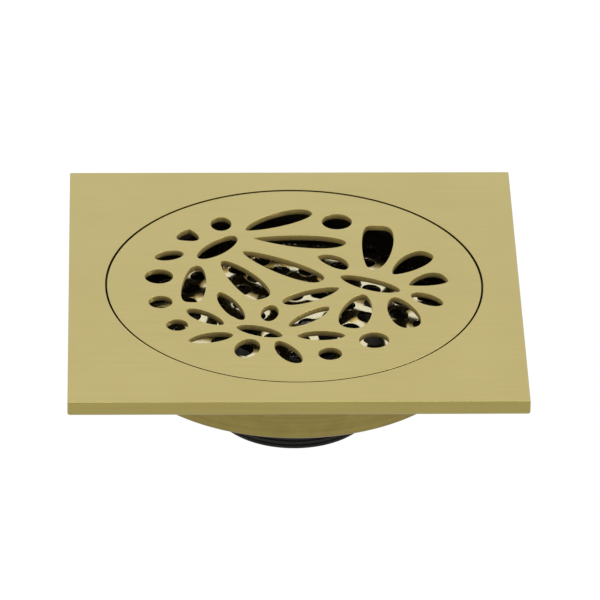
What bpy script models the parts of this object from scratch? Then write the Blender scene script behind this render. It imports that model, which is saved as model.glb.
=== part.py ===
"""Square floor drain: a plate with a cup and spigot, a round petal grate, a domed hair
strainer, and an odour-trap core whose sprung valve closes the outlet from below.

Units are metres, +Z is up. The origin is on the ground, under the middle of the plate.
"""

from math import ceil, cos, hypot, pi, sin

import bmesh
import bpy
from mathutils import Matrix, Vector

# Driving dimensions
OVERALL_HEIGHT = 0.0320
FIT_GAP = 0.0003  # between two pieces that touch

PLATE_SIDE = 0.1000
PLATE_THICKNESS = 0.0036
PLATE_LOWER_EDGE = 0.0008  # radius along the underside; the upright corners are sharp
PLATE_TOP_EDGE = 0.0002  # chamfer along the top

GRATE_RADIUS = 0.0415
GRATE_THICKNESS = 0.0013
GRATE_DROP = 0.0001  # below the plate's top
GRATE_SIDE_GAP = 0.00045
GRATE_SEAT_WIDTH = 0.0036
PATTERN_RADIUS = 0.0415  # grate radius that the cut-outs below are drawn for

CUP_DEPTH = 0.0155  # from the plate's top to the cup's underside
CUP_WALL = 0.0026
CUP_FLOOR = 0.0023
SPIGOT_LENGTH = 0.0085
SPIGOT_WALL = 0.0028

STRAINER_DEPTH = 0.0073  # from the plate's top to the ledge under the strainer
STRAINER_LEDGE_WIDTH = 0.0039
STRAINER_SIDE_GAP = 0.0005
STRAINER_SHEET = 0.0008
STRAINER_RISE = 0.00315
DOME_BANDS = 3
STRAINER_FLANGE_WIDTH = 0.0030
STRAINER_HOLE_RADIUS = 0.00215
STRAINER_HOLE_PITCH = 0.00594  # between rings
STRAINER_HOLES_A_RING = 6  # more in each ring than in the one inside it
STRAINER_RING_TURNS = [9.0, 13.8, 13.5, 1.1, 6.0]  # degrees to each ring's first hole

CORE_RADIUS = 0.0177
CORE_BORE_GAP = 0.0005
TUBE_INSET = 0.0004  # of the tube's outside from the seat ring's ridges
TUBE_WALL = 0.0019
FLANGE_WIDTH = 0.0052
FLANGE_THICKNESS = 0.0015
GASKET_THICKNESS = 0.0012
ORING_SECTION = 0.0014
ORING_BELOW_FLANGE = 0.0046
ORING_GROOVE_DEPTH = 0.0011

RING_HEIGHT = 0.0090
RING_COLLAR_WALL = 0.0011
RING_SKIRT_WALL = 0.0022
RING_LIP_HEIGHT = 0.0044  # of the lip's underside, where the valve seals
RING_LIP_THICKNESS = 0.0010
RING_LIP_WIDTH = 0.0029
RIDGE_PITCH = 0.0011
RIDGE_WIDTH = 0.0006
RIDGE_DEPTH = 0.00035
RIDGE_COUNT = 4

HUB_RADIUS = 0.0034
HUB_HEIGHT = 0.0033
RIB_COUNT = 3
RIB_THICKNESS = 0.0014
RIB_HEIGHT = 0.0027
SHANK_RADIUS = 0.0015
SHANK_GAP = 0.0004

DISC_SIDE_GAP = 0.0006
DISC_THICKNESS = 0.0014
DISC_BOSS_RADIUS = 0.0050
SEAL_THICKNESS = 0.0014
HEAD_RADIUS = 0.0030
HEAD_HEIGHT = 0.0013
HEAD_BELOW_DISC = 0.0003
SLOT_WIDTH = 0.0008
SLOT_LENGTH = 0.0034
SLOT_DEPTH = 0.0007

CAP_THICKNESS = 0.0010
CAP_SKIRT = 0.0008
CAP_SKIRT_WALL = 0.0008
NUT_FLATS = 0.0055
NUT_THICKNESS = 0.0018
SHANK_PAST_NUT = 0.0005
SHANK_UNDER_DOME = 0.0033
SPRING_RADIUS = 0.0036  # to the middle of the wire
SPRING_WIRE = 0.0006
SPRING_TURNS = 5.5

# Facets round a full circle
STEPS_LARGE = 64
STEPS_STRAINER = 48
STEPS_CORE = 40
STEPS_SMALL = 20
STEPS_HOLE = 8

# Levels, from the ground up
plate_top = OVERALL_HEIGHT
plate_bottom = plate_top - PLATE_THICKNESS
grate_bottom = plate_top - GRATE_DROP - GRATE_THICKNESS
grate_seat = grate_bottom - FIT_GAP
ledge_top = plate_top - STRAINER_DEPTH
cup_bottom = plate_top - CUP_DEPTH
floor_top = cup_bottom + CUP_FLOOR
spigot_bottom = cup_bottom - SPIGOT_LENGTH
strainer_bottom = ledge_top + FIT_GAP
gasket_bottom = floor_top + FIT_GAP
flange_bottom = gasket_bottom + GASKET_THICKNESS + FIT_GAP
flange_top = flange_bottom + FLANGE_THICKNESS
oring_level = flange_bottom - ORING_BELOW_FLANGE
lip_top = RING_LIP_HEIGHT + RING_LIP_THICKNESS
tube_bottom = lip_top + FIT_GAP
hub_bottom = tube_bottom + FIT_GAP
hub_top = hub_bottom + HUB_HEIGHT
seal_bottom = RING_LIP_HEIGHT - FIT_GAP - SEAL_THICKNESS
disc_bottom = seal_bottom - FIT_GAP - DISC_THICKNESS
head_bottom = disc_bottom - HEAD_BELOW_DISC
dome_underside = strainer_bottom + STRAINER_RISE
shank_top = dome_underside - SHANK_UNDER_DOME
nut_bottom = shank_top - SHANK_PAST_NUT - NUT_THICKNESS
cap_bottom = nut_bottom - FIT_GAP - CAP_THICKNESS
spring_bottom = hub_top + FIT_GAP
spring_top = cap_bottom - FIT_GAP

# Radii that one piece takes from another
recess_radius = GRATE_RADIUS + GRATE_SIDE_GAP
cup_bore = GRATE_RADIUS - GRATE_SEAT_WIDTH
sump_radius = cup_bore - STRAINER_LEDGE_WIDTH
strainer_radius = cup_bore - STRAINER_SIDE_GAP
dome_radius = strainer_radius - STRAINER_FLANGE_WIDTH
outlet_bore = CORE_RADIUS + CORE_BORE_GAP
tube_radius = CORE_RADIUS - TUBE_INSET
tube_bore = tube_radius - TUBE_WALL
tube_end_radius = CORE_RADIUS - RING_COLLAR_WALL - FIT_GAP
tube_end_bore = tube_end_radius - TUBE_WALL + 0.0002
skirt_bore = CORE_RADIUS - RING_SKIRT_WALL
lip_bore = skirt_bore - RING_LIP_WIDTH
disc_radius = skirt_bore - DISC_SIDE_GAP
seal_radius = disc_radius - FIT_GAP
shank_bore = SHANK_RADIUS + FIT_GAP
hub_bore = SHANK_RADIUS + SHANK_GAP

# Cut-outs of the grate, in millimetres on its plan: base x, y, tip x, y, bulge to the left
# and to the right of that line, and how far each end is pointed (0.5 round, 1 pointed).
LEFT_FLOWER = [
    (-21.1, 11.5, -12.8, 21.3, 2.3, 2.8, 0.5, 0.5),
    (-10.4, 24.0, 4.6, 31.9, 3.5, 2.3, 0.65, 0.45),
    (-8.8, 20.4, 12.0, 18.2, 2.4, 3.2, 0.9, 0.5),
    (-11.2, 14.5, 6.3, 1.7, 2.9, 3.2, 0.65, 0.37),
    (-15.9, 10.4, -7.3, -6.3, 3.8, 2.7, 0.6, 0.32),
    (-21.5, 8.3, -23.0, -7.7, 2.8, 2.6, 0.45, 0.27),
]
RIGHT_FLOWER = [
    (17.5, 6.3, 18.6, 25.9, 2.6, 4.5, 0.45, 0.22),
    (22.1, 4.3, 30.4, 13.7, 3.2, 2.9, 0.7, 0.38),
    (25.4, -0.5, 34.2, 1.7, 4.1, 1.4, 0.8, 0.42),
    (26.0, -4.1, 32.5, -9.1, 2.1, 2.2, 0.52, 0.5),
    (10.4, 3.6, 23.4, -3.0, 2.1, 2.8, 0.6, 0.55),
    (21.8, -5.7, 25.5, -18.8, 3.2, 3.3, 0.6, 0.38),
    (15.2, -4.4, 11.9, -18.9, 3.5, 3.5, 0.6, 0.36),
]
FRONT_FLOWER = [
    (-16.7, -3.3, -11.6, -15.3, 1.85, 2.15, 0.6, 0.55),
    (-23.8, -10.6, -15.9, -17.2, 1.9, 2.2, 0.55, 0.6),
    (-5.1, -9.0, -6.2, -15.9, 1.95, 1.95, 0.5, 0.5),
    (-13.1, -18.2, -3.1, -22.3, 2.2, 1.9, 0.6, 0.6),
    (-23.6, -24.2, -13.9, -21.6, 2.1, 2.0, 0.55, 0.55),
    (-9.8, -23.5, -12.0, -31.3, 2.8, 2.7, 0.5, 0.5),
    (-4.2, -24.3, 0.5, -33.6, 2.0, 2.5, 0.6, 0.5),
    (9.9, -1.6, -2.6, -8.1, 2.4, 2.35, 0.65, 0.45),
    (-1.5, -18.1, 7.4, -9.8, 1.8, 2.1, 0.6, 0.6),
    (0.2, -22.1, 10.7, -22.1, 1.95, 1.95, 0.6, 0.6),
]
HALF_LEAF = [(5.6, 12.5, 11.7, 6.4, 3.0, 1.4, 0.6, 0.55)]
RIM_DOTS = [
    (-15.9, 23.7, -15.9, 29.8, 2.35, 2.35, 0.5, 0.5),
    (-23.2, 24.5, -24.0, 19.3, 2.9, 2.2, 0.8, 0.3),
    (-30.8, 11.6, -24.5, 13.9, 2.0, 2.0, 0.5, 0.5),
    (-30.0, 0.45, -30.0, 6.75, 3.15, 3.15, 0.5, 0.5),
    (-29.7, -10.2, -29.7, -4.85, 2.65, 2.65, 0.5, 0.5),
    (-26.1, -19.9, -26.1, -15.0, 2.4, 2.4, 0.5, 0.5),
    (10.2, 24.2, 10.2, 31.1, 3.4, 3.4, 0.5, 0.5),
    (17.0, -27.4, 17.0, -20.8, 3.3, 3.3, 0.5, 0.5),
    (7.2, -32.4, 7.2, -27.2, 2.6, 2.6, 0.5, 0.5),
]
PETAL_STEPS = 8  # along each side of a cut-out


def clear_scene():
    for obj in list(bpy.data.objects):
        bpy.data.objects.remove(obj, do_unlink=True)


def make_collection(name, hidden=False):
    collection = bpy.data.collections.new(name)
    bpy.context.scene.collection.children.link(collection)
    collection.hide_render = hidden
    return collection


def make_material(name, color, metallic, roughness):
    material = bpy.data.materials.new(name)
    material.use_nodes = True
    shader = material.node_tree.nodes["Principled BSDF"]
    shader.inputs["Base Color"].default_value = (*color, 1.0)
    shader.inputs["Metallic"].default_value = metallic
    shader.inputs["Roughness"].default_value = roughness
    return material


def add_part(name, data, material, smooth_angle=pi / 6):
    """Links a mesh or curve as one node of the drain."""
    obj = bpy.data.objects.new(name, data)
    parts.objects.link(obj)
    data.materials.append(material)
    if isinstance(data, bpy.types.Mesh) and data.polygons:
        data.shade_smooth()
        data.set_sharp_from_angle(angle=smooth_angle)
    return obj


def add_cutter(name, data):
    obj = bpy.data.objects.new(name, data)
    cutters.objects.link(obj)
    obj.hide_render = True
    obj.display_type = "WIRE"
    return obj


def profile_mesh(name, points, closed):
    """Edges through (radius, height) points in the XZ plane, for a Screw to turn."""
    count = len(points)
    edges = [(k, k + 1) for k in range(count - 1)]
    if closed:
        edges.append((count - 1, 0))
    mesh = bpy.data.meshes.new(name)
    mesh.from_pydata([(radius, 0.0, height) for radius, height in points], edges, [])
    return mesh


def turn(obj, steps):
    screw = obj.modifiers.new("Turn", "SCREW")
    screw.axis = "Z"
    screw.steps = steps
    screw.render_steps = steps
    screw.use_merge_vertices = True
    screw.merge_threshold = 0.00001
    screw.use_smooth_shade = True
    return obj


def turned_part(name, points, steps, material, closed=True):
    return turn(add_part(name, profile_mesh(name, points, closed), material), steps)


def turned_cutter(name, points, steps):
    return turn(add_cutter(name, profile_mesh(name, points, False)), steps)


def mesh_from(name, bm):
    mesh = bpy.data.meshes.new(name)
    bm.to_mesh(mesh)
    bm.free()
    return mesh


def add_cylinder(bm, radius, low, high, steps, x=0.0, y=0.0):
    bmesh.ops.create_cone(
        bm, cap_ends=True, segments=steps, radius1=radius, radius2=radius,
        depth=high - low, matrix=Matrix.Translation((x, y, (low + high) / 2)),
    )


def add_box(bm, size, centre, turn_z=0.0):
    placed = Matrix.Rotation(turn_z, 4, "Z") @ Matrix.Translation(centre)
    bmesh.ops.create_cube(bm, size=1.0, matrix=placed @ Matrix.Diagonal((*size, 1.0)))


def boolean(obj, cutter, operation):
    modifier = obj.modifiers.new(cutter.name, "BOOLEAN")
    modifier.operation = operation
    modifier.object = cutter


def flat_curve(name, outlines, low, high):
    """A 2D curve, filled both sides: the first outline is solid, those inside it are holes."""
    curve = bpy.data.curves.new(name, "CURVE")
    curve.dimensions = "2D"
    curve.fill_mode = "BOTH"
    curve.extrude = (high - low) / 2
    for outline in outlines:
        spline = curve.splines.new("POLY")
        spline.points.add(len(outline) - 1)
        for point, (x, y) in zip(spline.points, outline):
            point.co = (x, y, 0.0, 1.0)
        spline.use_cyclic_u = True
    return curve


def circle(radius, steps, start=0.0):
    angles = [start + 2 * pi * k / steps for k in range(steps)]
    return [(radius * cos(a), radius * sin(a)) for a in angles]


def petal(base_x, base_y, tip_x, tip_y, left, right, base_point, tip_point):
    """An outline from base to tip whose half-width is t^base_point (1 - t)^tip_point."""
    scale = 0.001 * GRATE_RADIUS / PATTERN_RADIUS
    base = Vector((base_x, base_y))
    along = Vector((tip_x, tip_y)) - base
    across = Vector((-along.y, along.x)) / hypot(along.x, along.y)
    widest = base_point / (base_point + tip_point)
    peak = widest ** base_point * (1 - widest) ** tip_point
    fractions = [(1 - cos(pi * k / PETAL_STEPS)) / 2 for k in range(PETAL_STEPS + 1)]
    outline = []
    for bulge, stations in ((-right, fractions[:-1]), (left, fractions[:0:-1])):
        for t in stations:
            half = bulge * t ** base_point * (1 - t) ** tip_point / peak
            point = (base + along * t + across * half) * scale
            outline.append((point.x, point.y))
    return outline


def make_drain_body(material):
    """Plate, cup and spigot in one casting."""
    bm = bmesh.new()
    middle = (plate_top + plate_bottom) / 2
    add_box(bm, (PLATE_SIDE, PLATE_SIDE, PLATE_THICKNESS), (0.0, 0.0, middle))
    for level, size, segments in (
        (plate_bottom, PLATE_LOWER_EDGE, 3), (plate_top, PLATE_TOP_EDGE, 1),
    ):
        edge = [e for e in bm.edges if all(abs(v.co.z - level) < 0.00001 for v in e.verts)]
        bmesh.ops.bevel(bm, geom=edge, offset=size, segments=segments, profile=0.5, affect="EDGES")
    body = add_part("drain_body", mesh_from("drain_body", bm), material)

    bm = bmesh.new()
    add_cylinder(bm, cup_bore + CUP_WALL, cup_bottom, middle, STEPS_LARGE)
    boolean(body, add_cutter("cup_outside", mesh_from("cup_outside", bm)), "UNION")
    bm = bmesh.new()
    spigot_outside = outlet_bore + SPIGOT_WALL
    add_cylinder(bm, spigot_outside, spigot_bottom, (cup_bottom + floor_top) / 2, STEPS_LARGE)
    boolean(body, add_cutter("spigot_outside", mesh_from("spigot_outside", bm)), "UNION")

    past = 0.002
    hollow = turned_cutter("cup_hollow", [
        (0.0, plate_top + past), (recess_radius, plate_top + past),
        (recess_radius, grate_seat), (cup_bore, grate_seat),
        (cup_bore, ledge_top), (sump_radius, ledge_top),
        (sump_radius, floor_top), (outlet_bore, floor_top),
        (outlet_bore, spigot_bottom - past), (0.0, spigot_bottom - past),
    ], STEPS_LARGE)
    boolean(body, hollow, "DIFFERENCE")
    return body


def make_petal_grate(material):
    cutouts = LEFT_FLOWER + RIGHT_FLOWER + FRONT_FLOWER + HALF_LEAF + RIM_DOTS
    outlines = [circle(GRATE_RADIUS, STEPS_LARGE)] + [petal(*values) for values in cutouts]
    top = plate_top - GRATE_DROP
    grate = add_part("petal_grate", flat_curve("petal_grate", outlines, grate_bottom, top), material)
    grate.location.z = (grate_bottom + top) / 2
    return grate


def dome_height(radius):
    return STRAINER_RISE * (1 - (radius / dome_radius) ** 2)


def make_hair_strainer(material):
    """A pressed dome with a flat flange, drilled in rings."""
    radii = [dome_radius * k / DOME_BANDS for k in range(DOME_BANDS + 1)]
    top = [(r, strainer_bottom + STRAINER_SHEET + dome_height(r)) for r in radii]
    under = [(r, strainer_bottom + dome_height(r)) for r in reversed(radii)]
    rim = [(strainer_radius, strainer_bottom + STRAINER_SHEET), (strainer_radius, strainer_bottom)]
    strainer = turned_part("hair_strainer", top + rim + under, STEPS_STRAINER, material, False)

    bm = bmesh.new()
    low = strainer_bottom - 0.001
    high = strainer_bottom + STRAINER_SHEET + STRAINER_RISE + 0.001
    add_cylinder(bm, STRAINER_HOLE_RADIUS, low, high, STEPS_HOLE)
    hole_rings = int((dome_radius - STRAINER_HOLE_RADIUS) / STRAINER_HOLE_PITCH)
    for ring in range(1, hole_rings + 1):
        count = STRAINER_HOLES_A_RING * ring
        turn_by = STRAINER_RING_TURNS[(ring - 1) % len(STRAINER_RING_TURNS)] * pi / 180
        for x, y in circle(STRAINER_HOLE_PITCH * ring, count, start=turn_by):
            add_cylinder(bm, STRAINER_HOLE_RADIUS, low, high, STEPS_HOLE, x, y)
    boolean(strainer, add_cutter("strainer_holes", mesh_from("strainer_holes", bm)), "DIFFERENCE")
    return strainer


def make_core_housing(material):
    """Flanged tube with a guide hub on three ribs, and a groove for its O-ring."""
    groove = (ORING_SECTION + 2 * FIT_GAP) / 2
    groove_radius = tube_radius - ORING_GROOVE_DEPTH
    shoulder = RING_HEIGHT + FIT_GAP
    taper = tube_bore - tube_end_bore
    housing = turned_part("core_housing", [
        (tube_radius + FLANGE_WIDTH, flange_top), (tube_radius + FLANGE_WIDTH, flange_bottom),
        (tube_radius, flange_bottom), (tube_radius, oring_level + groove),
        (groove_radius, oring_level + groove), (groove_radius, oring_level - groove),
        (tube_radius, oring_level - groove), (tube_radius, shoulder),
        (tube_end_radius, shoulder), (tube_end_radius, tube_bottom),
        (tube_end_bore, tube_bottom), (tube_end_bore, shoulder + taper),
        (tube_bore, shoulder + 2 * taper), (tube_bore, flange_top - taper),
        (tube_bore + taper, flange_top),
    ], STEPS_CORE, material)

    inner, outer = hub_bore + 0.0002, (tube_end_bore + tube_end_radius) / 2
    for rib in range(RIB_COUNT):
        size = (outer - inner, RIB_THICKNESS, RIB_HEIGHT)
        centre = ((inner + outer) / 2, 0.0, hub_bottom + RIB_HEIGHT / 2)
        turn_z = 2 * pi * rib / RIB_COUNT
        box = bmesh.new()
        add_box(box, size, centre, turn_z)
        rib_piece = add_cutter(f"rib_{rib + 1}", mesh_from(f"rib_{rib + 1}", box))
        boolean(housing, rib_piece, "UNION")
    bm = bmesh.new()
    add_cylinder(bm, HUB_RADIUS, hub_bottom, hub_top, STEPS_SMALL)
    boolean(housing, add_cutter("hub", mesh_from("hub", bm)), "UNION")
    bm = bmesh.new()
    add_cylinder(bm, hub_bore, hub_bottom - 0.001, hub_top + 0.001, STEPS_SMALL)
    boolean(housing, add_cutter("hub_bore", mesh_from("hub_bore", bm)), "DIFFERENCE")
    return housing


def make_seat_ring(material):
    """Ridged ring pressed on the tube's lower end; the valve seals under its lip."""
    outside = [(CORE_RADIUS, RING_HEIGHT)]
    for ridge in reversed(range(RIDGE_COUNT)):
        low = ridge * RIDGE_PITCH
        outside += [
            (CORE_RADIUS, low + RIDGE_PITCH),
            (CORE_RADIUS - RIDGE_DEPTH, low + (RIDGE_PITCH + RIDGE_WIDTH) / 2),
            (CORE_RADIUS, low + RIDGE_WIDTH),
        ]
    collar_bore = CORE_RADIUS - RING_COLLAR_WALL
    inside = [
        (CORE_RADIUS, 0.0), (skirt_bore, 0.0), (skirt_bore, RING_LIP_HEIGHT),
        (lip_bore, RING_LIP_HEIGHT), (lip_bore, lip_top), (collar_bore, lip_top),
        (collar_bore, RING_HEIGHT),
    ]
    return turned_part("seat_ring", outside + inside, STEPS_CORE, material)


def ring_points(inner, outer, low, high):
    return [(outer, high), (outer, low), (inner, low), (inner, high)]


def make_core_gasket(material):
    points = ring_points(
        tube_radius + FIT_GAP, tube_radius + FLANGE_WIDTH - FIT_GAP,
        gasket_bottom, gasket_bottom + GASKET_THICKNESS,
    )
    return turned_part("core_gasket", points, STEPS_CORE, material)


def make_core_oring(material):
    section = ORING_SECTION / 2
    middle = tube_radius - ORING_GROOVE_DEPTH + FIT_GAP + section
    points = [(middle + x, oring_level - y) for x, y in circle(section, 6)]
    return turned_part("core_oring", points, STEPS_CORE, material)


def make_valve_disc(material):
    """Disc under the seal, with a boss through it and a pocket for the screw's head."""
    pocket_radius = HEAD_RADIUS + FIT_GAP
    pocket_top = head_bottom + HEAD_HEIGHT + FIT_GAP
    rounding = 0.0004
    return turned_part("valve_disc", [
        (DISC_BOSS_RADIUS, seal_bottom + SEAL_THICKNESS),
        (DISC_BOSS_RADIUS, disc_bottom + DISC_THICKNESS),
        (disc_radius, disc_bottom + DISC_THICKNESS), (disc_radius, disc_bottom + rounding),
        (disc_radius - rounding, disc_bottom), (pocket_radius, disc_bottom),
        (pocket_radius, pocket_top), (shank_bore, pocket_top),
        (shank_bore, seal_bottom + SEAL_THICKNESS),
    ], STEPS_CORE, material)


def make_valve_seal(material):
    points = ring_points(
        DISC_BOSS_RADIUS + FIT_GAP, seal_radius, seal_bottom, seal_bottom + SEAL_THICKNESS,
    )
    return turned_part("valve_seal", points, STEPS_CORE, material)


def make_valve_screw(material):
    """Long pan-head screw, head down: the valve's stem."""
    head_top = head_bottom + HEAD_HEIGHT
    screw = turned_part("valve_screw", [
        (0.0, shank_top), (SHANK_RADIUS - 0.0003, shank_top), (SHANK_RADIUS, shank_top - 0.0003),
        (SHANK_RADIUS, head_top), (HEAD_RADIUS, head_top),
        (HEAD_RADIUS, head_bottom + 0.0004), (HEAD_RADIUS - 0.0006, head_bottom),
        (0.0, head_bottom),
    ], STEPS_SMALL, material, closed=False)
    for slot, size in enumerate(((SLOT_LENGTH, SLOT_WIDTH), (SLOT_WIDTH, SLOT_LENGTH))):
        bm = bmesh.new()
        add_box(bm, (*size, 2 * SLOT_DEPTH), (0.0, 0.0, head_bottom))
        name = f"cross_slot_{slot + 1}"
        boolean(screw, add_cutter(name, mesh_from(name, bm)), "DIFFERENCE")
    return screw


def make_spring_cap(material):
    outer = SPRING_RADIUS + SPRING_WIRE / 2 + FIT_GAP + CAP_SKIRT_WALL
    return turned_part("spring_cap", [
        (outer, cap_bottom + CAP_THICKNESS), (outer, cap_bottom - CAP_SKIRT),
        (outer - CAP_SKIRT_WALL, cap_bottom - CAP_SKIRT), (outer - CAP_SKIRT_WALL, cap_bottom),
        (shank_bore, cap_bottom), (shank_bore, cap_bottom + CAP_THICKNESS),
    ], STEPS_SMALL, material)


def make_stem_nut(material):
    outlines = [circle(NUT_FLATS / 2 / cos(pi / 6), 6), circle(shank_bore, STEPS_SMALL)]
    nut = add_part("stem_nut", flat_curve("stem_nut", outlines, 0.0, NUT_THICKNESS), material)
    nut.location.z = nut_bottom + NUT_THICKNESS / 2
    return nut


def make_valve_spring(material):
    """Compression spring whose end turns lie closer than its middle ones."""
    curve = bpy.data.curves.new("valve_spring", "CURVE")
    curve.dimensions = "3D"
    curve.bevel_depth = SPRING_WIRE / 2
    curve.bevel_resolution = 2
    curve.use_fill_caps = True
    low, high = spring_bottom + SPRING_WIRE / 2, spring_top - SPRING_WIRE / 2
    points_a_turn = 12
    count = ceil(SPRING_TURNS * points_a_turn)
    spline = curve.splines.new("POLY")
    spline.points.add(count)
    for k, point in enumerate(spline.points):
        t = k / count
        angle = 2 * pi * SPRING_TURNS * t
        height = low + (high - low) * (t - 0.5 * sin(2 * pi * t) / (2 * pi))
        point.co = (SPRING_RADIUS * cos(angle), SPRING_RADIUS * sin(angle), height, 1.0)
    return add_part("valve_spring", curve, material)


def hang_on(name, *pieces):
    """An empty on the vertical axis that a group of pieces moves along."""
    axis = bpy.data.objects.new(name, None)
    parts.objects.link(axis)
    for piece in pieces:
        piece.parent = axis
    return axis


clear_scene()
parts = make_collection("Floor drain")
cutters = make_collection("Cutters", hidden=True)

brushed_brass = make_material("Brushed brass", (0.55, 0.45, 0.20), 1.0, 0.38)
grate_brass = make_material("Satin brass", (0.58, 0.49, 0.25), 1.0, 0.36)
polished_brass = make_material("Polished brass", (0.75, 0.62, 0.30), 1.0, 0.15)
black_abs = make_material("Black ABS", (0.012, 0.012, 0.013), 0.0, 0.40)
disc_abs = make_material("Grey ABS", (0.05, 0.05, 0.055), 0.0, 0.45)
cap_abs = make_material("White ABS", (0.75, 0.75, 0.73), 0.0, 0.40)
black_rubber = make_material("Black rubber", (0.015, 0.015, 0.015), 0.0, 0.70)
oring_rubber = make_material("Nitrile rubber", (0.01, 0.01, 0.01), 0.0, 0.55)
gasket_silicone = make_material("Grey silicone", (0.35, 0.35, 0.34), 0.0, 0.50)
seal_silicone = make_material("White silicone", (0.80, 0.80, 0.78), 0.0, 0.50)
screw_steel = make_material("Screw steel", (0.60, 0.60, 0.60), 1.0, 0.30)
spring_steel = make_material("Spring steel", (0.55, 0.55, 0.56), 1.0, 0.25)
nut_steel = make_material("Nut steel", (0.62, 0.62, 0.61), 1.0, 0.32)

make_drain_body(brushed_brass)
grate = make_petal_grate(grate_brass)
strainer = make_hair_strainer(polished_brass)
core_pieces = [
    make_core_housing(black_abs), make_seat_ring(black_rubber), make_core_gasket(gasket_silicone),
    make_core_oring(oring_rubber), make_valve_spring(spring_steel),
]
valve_pieces = [
    make_valve_disc(disc_abs), make_valve_seal(seal_silicone), make_valve_screw(screw_steel),
    make_spring_cap(cap_abs), make_stem_nut(nut_steel),
]

hang_on("grate_lift_axis", grate)
hang_on("strainer_lift_axis", strainer)
valve_axis = hang_on("valve_axis", *valve_pieces)
hang_on("core_lift_axis", *core_pieces, valve_axis)
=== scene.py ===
from math import ceil, cos, hypot, pi, radians, sin

import bpy
from mathutils import Matrix, Vector


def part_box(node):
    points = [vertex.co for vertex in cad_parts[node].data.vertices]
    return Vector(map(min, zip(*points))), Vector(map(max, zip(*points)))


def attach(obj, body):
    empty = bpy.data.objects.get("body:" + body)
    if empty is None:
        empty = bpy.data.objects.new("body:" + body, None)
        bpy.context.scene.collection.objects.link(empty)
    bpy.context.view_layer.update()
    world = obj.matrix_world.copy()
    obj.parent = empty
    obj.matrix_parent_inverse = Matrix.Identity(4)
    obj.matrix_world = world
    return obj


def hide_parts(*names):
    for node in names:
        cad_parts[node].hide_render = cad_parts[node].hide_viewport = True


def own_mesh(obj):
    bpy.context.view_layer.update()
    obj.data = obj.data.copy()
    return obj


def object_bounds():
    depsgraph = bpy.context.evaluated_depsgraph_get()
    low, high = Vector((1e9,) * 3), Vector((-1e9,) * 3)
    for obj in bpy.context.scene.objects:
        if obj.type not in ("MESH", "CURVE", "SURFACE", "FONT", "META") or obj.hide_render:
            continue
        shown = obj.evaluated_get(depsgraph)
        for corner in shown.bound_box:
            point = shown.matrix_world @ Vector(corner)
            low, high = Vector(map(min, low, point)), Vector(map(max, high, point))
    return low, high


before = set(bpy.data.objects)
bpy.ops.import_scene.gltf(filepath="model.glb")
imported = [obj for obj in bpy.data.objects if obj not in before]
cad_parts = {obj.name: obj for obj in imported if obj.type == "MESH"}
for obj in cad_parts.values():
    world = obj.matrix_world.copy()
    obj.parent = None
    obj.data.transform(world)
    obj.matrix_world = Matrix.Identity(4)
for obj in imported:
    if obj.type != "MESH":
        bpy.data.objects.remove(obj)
cadLow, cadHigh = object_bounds()
mm = 0.001
print("frame loaded:", len(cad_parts), "CAD nodes")


def deselectAll():
    if bpy.context.mode != "OBJECT":
        bpy.ops.object.mode_set(mode="OBJECT")
    bpy.ops.object.select_all(action="DESELECT")


def pick(piece, *others):
    deselectAll()
    for thing in (piece, *others):
        thing.select_set(True)
    bpy.context.view_layer.objects.active = piece
    return piece


def named(name):
    piece = bpy.context.object
    piece.name = name
    piece.data.name = name
    return piece


def settle(piece):
    # the place goes into the mesh, so the object itself sits at the origin
    pick(piece)
    bpy.ops.object.transform_apply(location=True, rotation=True, scale=True)
    return piece


def selectBy(piece, kind, test):
    # goes into edit mode with just the vertices, edges or faces whose corners pass the test
    pick(piece)
    bpy.ops.object.mode_set(mode="EDIT")
    bpy.ops.mesh.select_mode(type=kind)
    bpy.ops.mesh.select_all(action="DESELECT")
    bpy.ops.object.mode_set(mode="OBJECT")
    mesh = piece.data
    parts = {"VERT": mesh.vertices, "EDGE": mesh.edges, "FACE": mesh.polygons}[kind]
    for part in parts:
        corners = [part.index] if kind == "VERT" else part.vertices
        part.select = test([mesh.vertices[k].co / mm for k in corners])
    bpy.ops.object.mode_set(mode="EDIT")


def cleanUp(piece, distance=0.0005):
    pick(piece)
    bpy.ops.object.mode_set(mode="EDIT")
    bpy.ops.mesh.select_all(action="SELECT")
    bpy.ops.mesh.remove_doubles(threshold=distance * mm)
    bpy.ops.mesh.normals_make_consistent(inside=False)
    bpy.ops.object.mode_set(mode="OBJECT")
    return piece


def turned(name, profile, steps, closed=True):
    # a lathe: the profile is drawn as a line of (radius, height) points in mm, then spun round Z
    deselectAll()
    radius, height = profile[0]
    bpy.ops.mesh.primitive_plane_add(size=mm, location=(radius * mm, 0, height * mm))
    piece = named(name)
    bpy.ops.object.mode_set(mode="EDIT")
    bpy.ops.mesh.select_mode(type="VERT")
    bpy.ops.mesh.merge(type="CENTER")
    for start, end in zip(profile, profile[1:]):
        step = ((end[0] - start[0]) * mm, 0, (end[1] - start[1]) * mm)
        bpy.ops.mesh.extrude_region_move(TRANSFORM_OT_translate={"value": step})
    if closed:
        bpy.ops.object.mode_set(mode="OBJECT")
        last = len(piece.data.vertices) - 1
        for vertex in piece.data.vertices:
            vertex.select = vertex.index in (0, last)
        bpy.ops.object.mode_set(mode="EDIT")
        bpy.ops.mesh.edge_face_add()
    bpy.ops.mesh.select_all(action="SELECT")
    bpy.ops.mesh.spin(steps=steps, angle=2 * pi, center=(0, 0, 0), axis=(0, 0, 1))
    bpy.ops.object.mode_set(mode="OBJECT")
    settle(piece)
    return cleanUp(piece)


def applied(piece, kind, **settings):
    pick(piece)
    modifier = piece.modifiers.new(kind.title(), kind)
    for key, value in settings.items():
        setattr(modifier, key, value)
    bpy.ops.object.modifier_apply(modifier=modifier.name)
    return piece


def cut(piece, tool, operation="DIFFERENCE"):
    applied(piece, "BOOLEAN", operation=operation, object=tool, solver="EXACT")
    bpy.data.objects.remove(tool, do_unlink=True)
    return piece


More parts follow.
